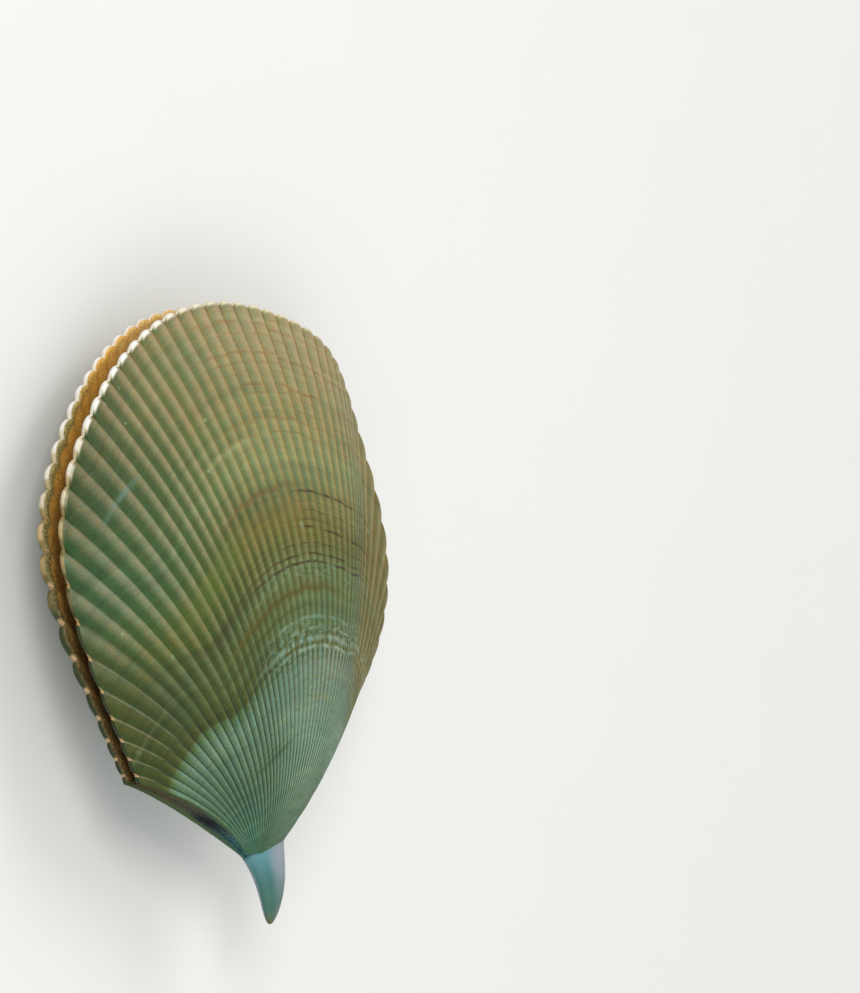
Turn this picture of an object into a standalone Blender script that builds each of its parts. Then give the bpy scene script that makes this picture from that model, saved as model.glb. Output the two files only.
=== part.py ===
"""A scallop shell lying on its lower valve.

Two thin ribbed valves face each other, a little agape, and meet along a ledge on
each side of a narrow throat. A smooth tapering stalk grows out of the throat.

Shell axes, used while the pieces are shaped: x runs across the hinge, y from the
throat to the crown, z out of the upper valve. Each valve follows one growth rule:
the margin outline shrinks towards the throat as the growth runs from 1 down to 0,
tilting out of the hinge plane on the way. The finished shell is tipped by the few
degrees at which it rests and set down on z = 0.
"""

import math

import bmesh
import bpy
from mathutils import Matrix, Vector

MM = 0.001

# Guide points of the margin, face on, from the left hinge corner over the crown to
# the right one. The outline is the uniform cubic B-spline that they guide.
MARGIN_GUIDES = [
    (-27.2 * MM, 5.8 * MM),
    (-32.3 * MM, 16.7 * MM),
    (-43.4 * MM, 44.3 * MM),
    (-33.8 * MM, 62.8 * MM),
    (-25.4 * MM, 73.6 * MM),
    (-13.8 * MM, 81.5 * MM),
    (0.6 * MM, 84.3 * MM),
    (16.0 * MM, 81.8 * MM),
    (29.4 * MM, 76.8 * MM),
    (32.6 * MM, 64.2 * MM),
    (42.0 * MM, 38.0 * MM),
    (32.0 * MM, 17.9 * MM),
    (21.6 * MM, 10.2 * MM),
]

# Growth rule
WIDTH_POWER = 1.14
TILT_RATE = math.radians(27.0)
TILT_CURL = math.radians(20.0)
CROWN_LIFT = 3.4 * MM
SIDE_DROP = 1.55 * MM
HINGE_SAG = 1.1 * MM

# Throat, the small oval mouth where all the ribs begin
THROAT_HALF_WIDTH = 4.15 * MM
THROAT_HALF_HEIGHT = 2.2 * MM
THROAT_DEPTH = 8.7 * MM
THROAT_SHIFT = 1.6 * MM
THROAT_SLANT = 1.0 * MM
THROAT_ARCH = 0.85 * MM
THROAT_FADE = 1.85
THROAT_SEAM = 0.5 * MM

# Ribs, in parts of the local distance between two grooves
RIBS = 50
RIB_HEIGHT = 0.17
RIM_SCALLOP = 0.13
CREST_PLACES = (0.28, 0.72)

# Wall
WALL_BODY = 1.5 * MM
WALL_MARGIN = 1.1 * MM
WALL_THROAT = 0.6 * MM
WALL_FULL_AT = 0.3
LEDGE_GAP = 0.3 * MM

# Stalk
STALK_LENGTH = 12.0 * MM
STALK_ROOT = 5.0 * MM
STALK_HALF_WIDTH = 4.4 * MM
STALK_HALF_HEIGHT = 2.75 * MM
STALK_NECK = (3.1 * MM, 1.6 * MM)
STALK_ROOT_SIZE = (2.4 * MM, 1.3 * MM)
STALK_TAPER = (0.8, 0.5)
STALK_BOW = 1.0 * MM
STALK_SIDES = 20
SHOULDER_GAP = 0.3 * MM

# Resting pose
REST_PITCH = math.radians(-6.5)
REST_ROLL = math.radians(-2.0)
CREST_WEAR = 0.5 * MM

# Rows of the outer and inner faces, as growth values from the throat to the margin
GROWTH_ROWS = (0.0, 0.06, 0.14, 0.24, 0.36, 0.49, 0.62, 0.75, 0.88, 1.0)
SLOPE_STEP = 0.004
HINGE_SLOPE_FROM = 0.03
SHARP_FROM = math.radians(40.0)


def clear_scene():
    """Remove every object that the scene starts with."""
    for thing in list(bpy.data.objects):
        bpy.data.objects.remove(thing, do_unlink=True)


def make_material(name, color, roughness):
    """A plain Principled material."""
    material = bpy.data.materials.new(name)
    material.use_nodes = True
    shader = material.node_tree.nodes["Principled BSDF"]
    shader.inputs["Base Color"].default_value = (*color, 1.0)
    shader.inputs["Roughness"].default_value = roughness
    shader.inputs["Metallic"].default_value = 0.0
    return material


def margin_point(across):
    """Point of the margin outline; across runs from -1 (left corner) to 1 (right)."""
    last = len(MARGIN_GUIDES) - 1
    place = (across + 1.0) / 2.0 * last
    first = min(int(place), last - 1)
    f = place - first
    weights = (
        (1.0 - f) ** 3 / 6.0,
        (3.0 * f**3 - 6.0 * f**2 + 4.0) / 6.0,
        (-3.0 * f**3 + 3.0 * f**2 + 3.0 * f + 1.0) / 6.0,
        f**3 / 6.0,
    )
    total = Vector((0.0, 0.0))
    for offset, weight in enumerate(weights):
        total += weight * guide_point(first - 1 + offset)
    return total


def guide_point(index):
    """A guide point, with one more mirrored beyond each end so that the curve ends there."""
    last = len(MARGIN_GUIDES) - 1
    if index < 0:
        return 2.0 * Vector(MARGIN_GUIDES[0]) - Vector(MARGIN_GUIDES[1])
    if index > last:
        return 2.0 * Vector(MARGIN_GUIDES[last]) - Vector(MARGIN_GUIDES[last - 1])
    return Vector(MARGIN_GUIDES[index])


def grown_point(growth, across):
    """Point of the upper valve's smooth skin, without ribs."""
    margin = margin_point(across)
    left = 1.0 - growth
    tilt = TILT_RATE * left + TILT_CURL * left * left
    throat = max(left, 0.0) ** THROAT_FADE
    middle = math.cos(math.pi * across / 2.0)
    side = math.sin(math.pi * across / 2.0)
    x = growth**WIDTH_POWER * margin.x + throat * (THROAT_SHIFT + THROAT_HALF_WIDTH * side)
    y = growth * margin.y * math.cos(tilt)
    y += throat * (THROAT_ARCH * middle + THROAT_SLANT * side - THROAT_DEPTH)
    y -= HINGE_SAG * 4.0 * growth * left * across**4
    z = growth * margin.y * math.sin(tilt)
    z += throat * (THROAT_HALF_HEIGHT * middle + THROAT_SEAM)
    z += (1.0 - throat) * CROWN_LIFT - growth**2 * (1.0 - middle**2) * SIDE_DROP
    return Vector((x, y, z))


def skin_slopes(growth, across):
    """Slopes of the smooth skin along the growth and across it."""
    low, high = max(growth - SLOPE_STEP, 0.0), min(growth + SLOPE_STEP, 1.0)
    along = (grown_point(high, across) - grown_point(low, across)) / (high - low)
    low, high = max(across - SLOPE_STEP, -1.0), min(across + SLOPE_STEP, 1.0)
    over = (grown_point(growth, high) - grown_point(growth, low)) / (high - low)
    return along, over


def rib_profile(across):
    """Height of the rib at this place, rising from 0 in a groove to 1 along its flat crest."""
    place = ((across + 1.0) / 2.0 * RIBS - 0.5) % 1.0
    return min(1.0, min(place, 1.0 - place) / CREST_PLACES[0])


def ribbed_point(growth, across):
    """Point of the outer face, with its rib; crests reach past the margin in scallops."""
    along, over = skin_slopes(growth, across)
    pitch = over.length * 2.0 / RIBS
    crest = rib_profile(across)
    if growth >= 1.0:
        growth += RIM_SCALLOP * pitch * crest / along.length
    lift = RIB_HEIGHT * pitch * crest
    return grown_point(growth, across) + over.cross(along).normalized() * lift


def wall_at(growth):
    """Thickness of the valve."""
    if growth < WALL_FULL_AT:
        return WALL_THROAT + (WALL_BODY - WALL_THROAT) * growth / WALL_FULL_AT
    share = (growth - WALL_FULL_AT) / (1.0 - WALL_FULL_AT)
    return WALL_BODY + (WALL_MARGIN - WALL_BODY) * share


def inner_point(growth, across):
    """Point of the smooth inner face."""
    along, over = skin_slopes(growth, across)
    return grown_point(growth, across) - over.cross(along).normalized() * wall_at(growth)


def ledge_points(growth, side):
    """Outer and inner foot of the hinge ledge, just short of the plane between the valves."""
    edge = grown_point(growth, side)
    along, _ = skin_slopes(max(growth, HINGE_SLOPE_FROM), side)
    inward = Vector((-side * along.y, side * along.x, 0.0)).normalized()
    outer = Vector((edge.x, edge.y, LEDGE_GAP / 2.0))
    return outer, outer + inward * wall_at(growth)


def outer_columns():
    """Places across the outer face: the two edges, every groove, and two on each crest."""
    step = 2.0 / RIBS
    places = [-1.0]
    for rib in range(RIBS):
        groove = -1.0 + (rib + 0.5) * step
        places.append(groove)
        if rib < RIBS - 1:
            places.extend(groove + share * step for share in CREST_PLACES)
    places.append(1.0)
    return places


def groove_columns():
    """Places across the inner face, one behind each groove."""
    return [-1.0 + (rib + 0.5) * 2.0 / RIBS for rib in range(RIBS)]


def add_strip(bm, first, second):
    """Quads between two rows of the same length."""
    for left in range(len(first) - 1):
        bm.faces.new((first[left], first[left + 1], second[left + 1], second[left]))


def add_rim(bm, outer, inner):
    """Close the end of a valve between its outer row and its coarser inner row."""
    per_rib = len(CREST_PLACES) + 1
    bm.faces.new((outer[0], outer[1], inner[0]))
    for rib in range(RIBS - 1):
        first = 1 + rib * per_rib
        bm.faces.new((outer[first], outer[first + 1], inner[rib]))
        bm.faces.new((outer[first + 1], outer[first + 2], inner[rib + 1], inner[rib]))
        bm.faces.new((outer[first + 2], outer[first + 3], inner[rib + 1]))
    bm.faces.new((outer[-2], outer[-1], inner[-1]))


def build_valve(name, flip):
    """One valve as a closed thin-walled body; flip mirrors it below the hinge plane."""
    bm = bmesh.new()
    mirror = Vector((1.0, 1.0, -1.0 if flip else 1.0))

    def row(points):
        return [bm.verts.new(point * mirror) for point in points]

    outer = [row(ribbed_point(g, a) for a in outer_columns()) for g in GROWTH_ROWS]
    inner = [row(inner_point(g, a) for a in groove_columns()) for g in GROWTH_ROWS]
    left = [row(ledge_points(g, -1.0)) for g in GROWTH_ROWS]
    right = [row(ledge_points(g, 1.0)) for g in GROWTH_ROWS]

    faces = [outer, inner]
    for corner, feet in ((0, left), (-1, right)):
        faces.append([[skin[corner], *foot, lining[corner]]
                      for skin, foot, lining in zip(outer, feet, inner)])
    for rows in faces:
        for first, second in zip(rows, rows[1:]):
            add_strip(bm, first, second)
    for end in (0, -1):
        add_rim(bm, outer[end], inner[end])
        for ledge in faces[2:]:
            bm.faces.new(ledge[end])

    bmesh.ops.recalc_face_normals(bm, faces=bm.faces)
    return finish_piece(bm, name)


def stalk_rings():
    """Centre, half width, half height, arch and slant of each ring, from the root to the tip."""
    rim = -THROAT_DEPTH - SHOULDER_GAP
    rings = [
        (THROAT_SHIFT, rim + STALK_ROOT, *STALK_ROOT_SIZE, 0.0, 0.0),
        (THROAT_SHIFT, rim + STALK_ROOT * 0.45, *STALK_NECK, THROAT_ARCH, THROAT_SLANT),
        (THROAT_SHIFT, rim, *STALK_NECK, THROAT_ARCH, THROAT_SLANT),
    ]
    outside = (0.0, 0.04, 0.12, 0.24, 0.38, 0.52, 0.66, 0.78, 0.88, 0.95, 0.985)
    for share in outside:
        size = (1.0 - share ** STALK_TAPER[0]) ** STALK_TAPER[1]
        centre = THROAT_SHIFT + STALK_BOW * math.sin(math.pi * share)
        fade = (1.0 - share) ** 3
        rings.append((centre, rim - share * STALK_LENGTH, STALK_HALF_WIDTH * size,
                      STALK_HALF_HEIGHT * size, THROAT_ARCH * fade, THROAT_SLANT * fade))
    return rings


def build_stalk(name):
    """The stalk: a neck held in the throat, a shoulder under the rims and a bowed taper."""
    bm = bmesh.new()
    rings = []
    for centre, place, half_width, half_height, arch, slant in stalk_rings():
        ring = []
        for side in range(STALK_SIDES):
            angle = math.tau * side / STALK_SIDES
            lift = arch * abs(math.sin(angle)) + slant * math.cos(angle)
            ring.append(bm.verts.new((centre + half_width * math.cos(angle), place + lift,
                                      half_height * math.sin(angle))))
        rings.append(ring)
    for first, second in zip(rings, rings[1:]):
        add_strip(bm, first + first[:1], second + second[:1])
    bm.faces.new(rings[0])
    tip = bm.verts.new((THROAT_SHIFT, -THROAT_DEPTH - SHOULDER_GAP - STALK_LENGTH, 0.0))
    for side in range(STALK_SIDES):
        bm.faces.new((rings[-1][side], rings[-1][(side + 1) % STALK_SIDES], tip))
    bmesh.ops.recalc_face_normals(bm, faces=bm.faces)
    return finish_piece(bm, name)


def finish_piece(bm, name):
    """Turn the bmesh into a named, smooth-shaded object in the scene."""
    bmesh.ops.triangulate(bm, faces=bm.faces)
    mesh = bpy.data.meshes.new(name)
    bm.to_mesh(mesh)
    bm.free()
    mesh.shade_smooth()
    mesh.set_sharp_from_angle(angle=SHARP_FROM)
    piece = bpy.data.objects.new(name, mesh)
    bpy.context.collection.objects.link(piece)
    return piece


def set_down(pieces):
    """Tip the shell to its resting pose, wear its lowest crests flat and stand it on z = 0."""
    turn = Matrix.Rotation(REST_PITCH, 4, "X") @ Matrix.Rotation(REST_ROLL, 4, "Y")
    for piece in pieces:
        piece.data.transform(turn)
    points = [vertex for piece in pieces for vertex in piece.data.vertices]
    seat = min(vertex.co.z for vertex in points) + CREST_WEAR
    for vertex in points:
        vertex.co.z = max(vertex.co.z, seat)
    middle = [(min(v.co[axis] for v in points) + max(v.co[axis] for v in points)) / 2.0
              for axis in (0, 1)]
    move = Matrix.Translation((-middle[0], -middle[1], -seat))
    for piece in pieces:
        piece.data.transform(move)


def main():
    """Build the three pieces, give each its material and set the shell down."""
    clear_scene()
    upper = build_valve("upper_valve", flip=False)
    lower = build_valve("lower_valve", flip=True)
    stalk = build_stalk("stalk")
    upper.data.materials.append(make_material("upper_valve_shell", (0.24, 0.31, 0.14), 0.45))
    lower.data.materials.append(make_material("lower_valve_shell", (0.26, 0.28, 0.13), 0.45))
    stalk.data.materials.append(make_material("stalk_skin", (0.13, 0.27, 0.25), 0.3))
    set_down([upper, lower, stalk])


main()
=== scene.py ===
"""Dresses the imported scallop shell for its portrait.

Each valve is grown by Geometry Nodes from one rule: the margin outline shrinks towards
the throat as growth runs from 1 down to 0, tilting out of the hinge plane on the way.
Ribs, growth lines and colour follow the same two coordinates, growth and across.
"""

import logging
import math
from collections.abc import Callable, Iterable
from dataclasses import dataclass, field, fields
from enum import IntEnum
from functools import cached_property
from typing import ClassVar

import bmesh
import bpy
import numpy as np
from mathutils import Matrix, Vector


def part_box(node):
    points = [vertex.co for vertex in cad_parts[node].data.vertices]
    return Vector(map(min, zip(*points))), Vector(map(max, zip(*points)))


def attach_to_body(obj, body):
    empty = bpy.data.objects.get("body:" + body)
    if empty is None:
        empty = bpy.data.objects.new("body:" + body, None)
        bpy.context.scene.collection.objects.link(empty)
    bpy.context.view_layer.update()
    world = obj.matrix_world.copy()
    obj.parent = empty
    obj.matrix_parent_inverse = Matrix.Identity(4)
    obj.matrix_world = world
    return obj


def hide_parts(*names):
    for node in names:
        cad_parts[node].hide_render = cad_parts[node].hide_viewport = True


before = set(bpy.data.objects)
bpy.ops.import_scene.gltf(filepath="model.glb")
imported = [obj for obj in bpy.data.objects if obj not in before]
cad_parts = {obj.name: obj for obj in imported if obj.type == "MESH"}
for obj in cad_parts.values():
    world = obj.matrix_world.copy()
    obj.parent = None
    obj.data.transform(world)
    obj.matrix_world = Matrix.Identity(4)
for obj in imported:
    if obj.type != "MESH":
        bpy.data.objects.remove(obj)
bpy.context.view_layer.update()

log = logging.getLogger("scallop")

MM = 0.001
RIBS = 50
Color = tuple[float, float, float, float]
Stops = Iterable[tuple[float, int]]


# --- Shared tools ---


def linear(code: int) -> Color:
    """Turn a colour code, 0xRRGGBB, into the linear colour that shaders use."""
    parts = []
    for shift in (16, 8, 0):
        share = (code >> shift & 255) / 255.0
        parts.append(share / 12.92 if share <= 0.04045 else ((share + 0.055) / 1.055) ** 2.4)
    return (parts[0], parts[1], parts[2], 1.0)


def node_inputs(sizes: object) -> dict[str, float]:
    """Names and values of a dataclass's plain numbers, as inputs of a node tree."""
    values = {part.name: getattr(sizes, part.name) for part in fields(sizes)}
    return {name.replace("_", " ").title(): float(value) for name, value in values.items()
            if isinstance(value, (int, float))}


def add_object(name: str, data: bpy.types.ID) -> bpy.types.Object:
    """Make an object of a mesh, lamp or camera and put it in the scene."""
    added = bpy.data.objects.new(name, data)
    bpy.context.scene.collection.objects.link(added)
    return added


def to_mesh(bm: bmesh.types.BMesh, name: str) -> bpy.types.Mesh:
    """Turn a finished bmesh into a mesh."""
    mesh = bpy.data.meshes.new(name)
    bm.to_mesh(mesh)
    bm.free()
    return mesh


def arithmetic(operation: str, swapped: bool = False) -> Callable[["Wire", object], "Wire"]:
    """Make the method that joins a wire with another value.

    Args:
        operation: What the node does.
        swapped: The other value comes first.

    Returns:
        The method.
    """
    def method(wire: "Wire", other: object) -> "Wire":
        """Join the two values."""
        return wire.join(operation, *((other, wire) if swapped else (wire, other)))

    return method


class Wire:
    """A number that flows through a node tree, with the usual arithmetic."""

    def __init__(self, net: "Net", socket: bpy.types.NodeSocket) -> None:
        """Keep the pen and the output socket that carries the value."""
        self.net = net
        self.socket = socket

    def join(self, operation: str, *values: object, **options: bool) -> "Wire":
        """Add the node that works on values of this kind."""
        return self.net.math(operation, *values, **options)

    def math(self, operation: str, *others: object, **options: bool) -> "Wire":
        """Work on the value, which comes first, and on any others."""
        return self.join(operation, self, *others, **options)

    __add__ = __radd__ = arithmetic("ADD")
    __sub__ = arithmetic("SUBTRACT")
    __rsub__ = arithmetic("SUBTRACT", swapped=True)
    __mul__ = __rmul__ = arithmetic("MULTIPLY")
    __truediv__ = arithmetic("DIVIDE")
    __pow__ = arithmetic("POWER")

    def fit(self, low: float, high: float, start: float = 0.0, end: float = 1.0,
            smooth: bool = True) -> "Wire":
        """Map the number from one range to another and hold it there.

        Args:
            low: Where the result is start.
            high: Where the result is end.
            start: Result at low.
            end: Result at high.
            smooth: Ease in and out instead of running straight.

        Returns:
            The mapped number.
        """
        node = self.net.node("ShaderNodeMapRange",
                             dict(enumerate((self, low, high, start, end))),
                             interpolation_type="SMOOTHSTEP" if smooth else "LINEAR")
        return Wire(self.net, node.outputs[0])

    def bump(self, centre: float, width: float) -> "Wire":
        """A soft hump: 1 where the number is at the centre, 0 beyond the width."""
        return (self - centre).math("ABSOLUTE").fit(0.0, width, 1.0, 0.0)


class Arrow(Wire):
    """A vector that flows through a node tree."""

    def join(self, operation: str, *values: object) -> "Arrow":
        """Add the node that works on vectors."""
        return self.net.vector(operation, *values)

    def __mul__(self, share: object) -> "Arrow":
        """The vector made longer or shorter."""
        return self.math("SCALE", share)

    def unit(self) -> "Arrow":
        """The vector at length 1."""
        return self.math("NORMALIZE")

    def length(self) -> Wire:
        """Length of the vector."""
        node = self.net.node("ShaderNodeVectorMath", {0: self}, operation="LENGTH")
        return Wire(self.net, node.outputs["Value"])

    def split(self) -> list[Wire]:
        """The vector's three numbers."""
        node = self.net.node("ShaderNodeSeparateXYZ", {0: self})
        return [Wire(self.net, output) for output in node.outputs]


class Net:
    """A pen that draws nodes in one tree, for shaders and for geometry alike."""

    def __init__(self, tree: bpy.types.NodeTree) -> None:
        """Keep the tree to draw in."""
        self.tree = tree

    @classmethod
    def recipe(cls, name: str, numbers: Iterable[str], result: str, kind: str) -> "Net":
        """Start a geometry tree that works from the margin outline and some numbers.

        Args:
            name: Name of the tree.
            numbers: Names of its number inputs.
            result: Name of its output.
            kind: Kind of its output.

        Returns:
            A pen for the tree.
        """
        tree = bpy.data.node_groups.new(name, "GeometryNodeTree")
        rows = [("Margin", "INPUT", "Geometry"), *((one, "INPUT", "Float") for one in numbers),
                (result, "OUTPUT", kind)]
        for row, way, sort in rows:
            tree.interface.new_socket(name=row, in_out=way, socket_type="NodeSocket" + sort)
        net = cls(tree)
        net.node("NodeGroupInput", name="Entry")
        return net

    def given(self, name: str) -> Wire:
        """An input of the tree by name."""
        return Wire(self, self.tree.nodes["Entry"].outputs[name])

    def node(self, kind: str, inputs: dict | None = None, **settings: object) -> bpy.types.Node:
        """Add a node.

        Args:
            kind: Type of the node.
            inputs: Values, wires or sockets for its inputs, by name or place.
            **settings: Properties to set before the inputs.

        Returns:
            The new node.
        """
        node = self.tree.nodes.new(kind)
        for name, value in settings.items():
            setattr(node, name, value)
        for key, value in (inputs or {}).items():
            self.feed(node.inputs[key], value)
        return node

    def feed(self, target: bpy.types.NodeSocket, value: object) -> None:
        """Connect a wire or socket to an input, or set it to a number or a colour code."""
        if isinstance(value, Wire):
            value = value.socket
        if isinstance(value, bpy.types.NodeSocket):
            self.tree.links.new(value, target)
        elif isinstance(value, int) and target.type == "RGBA":
            target.default_value = linear(value)
        else:
            target.default_value = value

    def math(self, operation: str, *values: object, clamp: bool = False) -> Wire:
        """Add a Math node and return its result."""
        node = self.node("ShaderNodeMath", dict(enumerate(values)), operation=operation,
                         use_clamp=clamp)
        return Wire(self, node.outputs[0])

    def vector(self, operation: str, *values: object) -> Arrow:
        """Add a Vector Math node and return its vector."""
        keys = (0, "Scale") if operation == "SCALE" else (0, 1)
        node = self.node("ShaderNodeVectorMath", dict(zip(keys, values)), operation=operation)
        return Arrow(self, node.outputs[0])

    def combine(self, *parts: object) -> Arrow:
        """Make a vector of three numbers."""
        node = self.node("ShaderNodeCombineXYZ", dict(enumerate(parts)))
        return Arrow(self, node.outputs[0])

    def place(self) -> Arrow:
        """The place in the piece, for a shader."""
        return Arrow(self, self.node("ShaderNodeTexCoord").outputs["Object"])

    def attribute(self, name: str) -> Wire:
        """Read a number that the valve's node tree stored on the mesh."""
        node = self.node("ShaderNodeAttribute", attribute_name=name)
        return Wire(self, node.outputs["Fac"])

    def grain(self, size: float, detail: float = 2.0, rough: float = 0.5,
              where: object = None, seed: float = 0.0) -> Wire:
        """Soft noise.

        Args:
            size: Size of the blotches in metres, or in the units of where.
            detail: How many finer layers are added.
            rough: Strength of the finer layers.
            where: Vector to read, or None for the place in the piece.
            seed: Shift that sets one noise apart from another.

        Returns:
            The noise, 0 to 1.
        """
        node = self.node("ShaderNodeTexNoise", {
            "Vector": where or self.place(), "Scale": 1.0 / size, "Detail": detail,
            "Roughness": rough, "W": seed}, noise_dimensions="4D")
        return Wire(self, node.outputs["Fac"])

    def blend(self, amount: object, below: object, above: object,
              mode: str = "MIX") -> bpy.types.NodeSocket:
        """Lay one colour over another."""
        node = self.node("ShaderNodeMix", {0: amount}, data_type="RGBA", blend_type=mode,
                         clamp_factor=True)
        self.feed(node.inputs[6], below)
        self.feed(node.inputs[7], above)
        return node.outputs[2]

    def ramp(self, value: Wire, stops: Stops) -> bpy.types.NodeSocket:
        """Colours that change along a number of 0 to 1, from places and colour codes."""
        node = self.node("ShaderNodeValToRGB", {0: value})
        elements = node.color_ramp.elements
        elements.remove(elements[1])
        (elements[0].position, first), *others = stops
        elements[0].color = linear(first)
        for place, code in others:
            elements.new(place).color = linear(code)
        return node.outputs["Color"]


# --- The growth rule ---


@dataclass(frozen=True)
class GrowthRule:
    """Sizes of the shell: the margin's guide points and how it grew from the throat."""

    # A helper program fitted these points to the photograph
    guides: tuple[tuple[float, float], ...] = (
        (-27.2, 5.8), (-32.3, 16.7), (-43.4, 44.3), (-33.8, 62.8), (-25.4, 73.6),
        (-13.8, 81.5), (0.6, 84.3), (16.0, 81.8), (29.4, 76.8), (32.6, 64.2),
        (42.0, 38.0), (32.0, 17.9), (21.6, 10.2),
    )
    outline_steps: int = 960
    width_power: float = 1.14
    tilt_rate: float = math.radians(27.0)
    tilt_curl: float = math.radians(20.0)
    crown_lift: float = 3.4 * MM
    side_drop: float = 1.55 * MM
    hinge_sag: float = 1.1 * MM
    throat_half_width: float = 4.15 * MM
    throat_half_height: float = 2.2 * MM
    throat_depth: float = 8.7 * MM
    throat_shift: float = 1.6 * MM
    throat_slant: float = 1.0 * MM
    throat_arch: float = 0.85 * MM
    throat_fade: float = 1.85
    throat_seam: float = 0.5 * MM

    @cached_property
    def control_points(self) -> list[Vector]:
        """The guides in metres, with one mirrored beyond each end so that the curve ends there."""
        points = [Vector(guide) * MM for guide in self.guides]
        return [2.0 * points[0] - points[1], *points, 2.0 * points[-1] - points[-2]]

    def margin_point(self, across: float) -> Vector:
        """Point of the margin outline, a cubic B-spline of the guides.

        Args:
            across: Place along the outline, from -1 at the left corner to 1 at the right.

        Returns:
            The point, face on, in metres.
        """
        last = len(self.guides) - 1
        place = (across + 1.0) / 2.0 * last
        first = min(int(place), last - 1)
        f = place - first
        weights = ((1.0 - f) ** 3, 3.0 * f**3 - 6.0 * f**2 + 4.0,
                   -3.0 * f**3 + 3.0 * f**2 + 3.0 * f + 1.0, f**3)
        total = Vector((0.0, 0.0))
        for offset, weight in enumerate(weights):
            total += weight / 6.0 * self.control_points[first + offset]
        return total

    def outline(self) -> bpy.types.Mesh:
        """A string of points along the margin, which the node tree reads by number."""
        steps = range(self.outline_steps + 1)
        points = [self.margin_point(-1.0 + 2.0 * step / self.outline_steps) for step in steps]
        mesh = bpy.data.meshes.new("margin_outline")
        mesh.from_pydata([(point.x, point.y, 0.0) for point in points],
                         [(step, step + 1) for step in steps[:-1]], [])
        return mesh

    def group(self) -> bpy.types.NodeTree:
        """Draw the node group that turns growth and across into a point of the smooth skin."""
        net = Net.recipe("growth_rule", ("Growth", "Across", *node_inputs(self)),
                         "Point", "Vector")
        given = net.given
        growth, across = given("Growth"), given("Across")
        place = (across + 1.0) * 0.5 * given("Outline Steps")
        low = place.math("FLOOR")
        ends = []
        for index in (low, low + 1.0):
            position = net.node("GeometryNodeInputPosition").outputs[0]
            sample = net.node("GeometryNodeSampleIndex", {
                "Geometry": given("Margin"), "Value": position, "Index": index},
                data_type="FLOAT_VECTOR", domain="POINT", clamp=True)
            ends.append(Arrow(net, sample.outputs["Value"]))
        margin_x, margin_y, _ = (ends[0] + (ends[1] - ends[0]) * (place - low)).split()

        left = 1.0 - growth
        tilt = given("Tilt Rate") * left + given("Tilt Curl") * left * left
        throat = left.math("MAXIMUM", 0.0) ** given("Throat Fade")
        middle = (across * (math.pi / 2.0)).math("COSINE")
        side = (across * (math.pi / 2.0)).math("SINE")
        x = growth ** given("Width Power") * margin_x
        x = x + throat * (given("Throat Shift") + given("Throat Half Width") * side)
        y = growth * margin_y * tilt.math("COSINE")
        y = y + throat * (given("Throat Arch") * middle + given("Throat Slant") * side
                          - given("Throat Depth"))
        far = across * across
        y = y - given("Hinge Sag") * 4.0 * growth * left * far * far
        z = growth * margin_y * tilt.math("SINE")
        z = z + throat * (given("Throat Half Height") * middle + given("Throat Seam"))
        z = z + (1.0 - throat) * given("Crown Lift")
        z = z - growth * growth * (1.0 - middle * middle) * given("Side Drop")
        net.node("NodeGroupOutput", {"Point": net.combine(x, y, z)})
        return net.tree


# --- Finishes ---


class Layer(IntEnum):
    """The kinds of surface on a valve, numbered as the mesh's material slots."""

    SKIN = 0
    LINING = 1
    LEDGE = 2


class Coat:
    """A material in the making: its colour is laid on in layers, then it is finished."""

    def __init__(self, name: str) -> None:
        """Start an empty Principled material."""
        self.material = bpy.data.materials.new(name)
        self.material.use_nodes = True
        self.net = Net(self.material.node_tree)
        self.shader = self.net.tree.nodes["Principled BSDF"]
        self.color: object = None

    def lay(self, amount: object, above: object, mode: str = "MIX") -> None:
        """Lay one more colour over what is there."""
        self.color = self.net.blend(amount, self.color, above, mode)

    def shade(self, amount: float, noise: Wire, *stops: tuple[float, int]) -> None:
        """Break the colour up softly, by noise that runs from one colour to another."""
        self.lay(amount, self.net.ramp(noise, stops), "SOFT_LIGHT")

    def finish(self, polish: Wire, rough: tuple[float, float], shine: float, relief: Wire,
               depth: float) -> bpy.types.Material:
        """Connect the colour and give the surface its polish and fine relief.

        Args:
            polish: Noise that the roughness follows.
            rough: Roughness where the noise is low and where it is high.
            shine: Strength of the reflections.
            relief: Height of the relief, as noise.
            depth: Depth of the relief in metres.

        Returns:
            The finished material.
        """
        bump = self.net.node("ShaderNodeBump", {"Height": relief, "Strength": 1.0,
                                                "Distance": depth})
        for name, value in (("Base Color", self.color), ("Specular IOR Level", shine),
                            ("Roughness", polish.fit(0.3, 0.7, *rough)),
                            ("Normal", bump.outputs["Normal"])):
            self.net.feed(self.shader.inputs[name], value)
        return self.material


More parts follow.
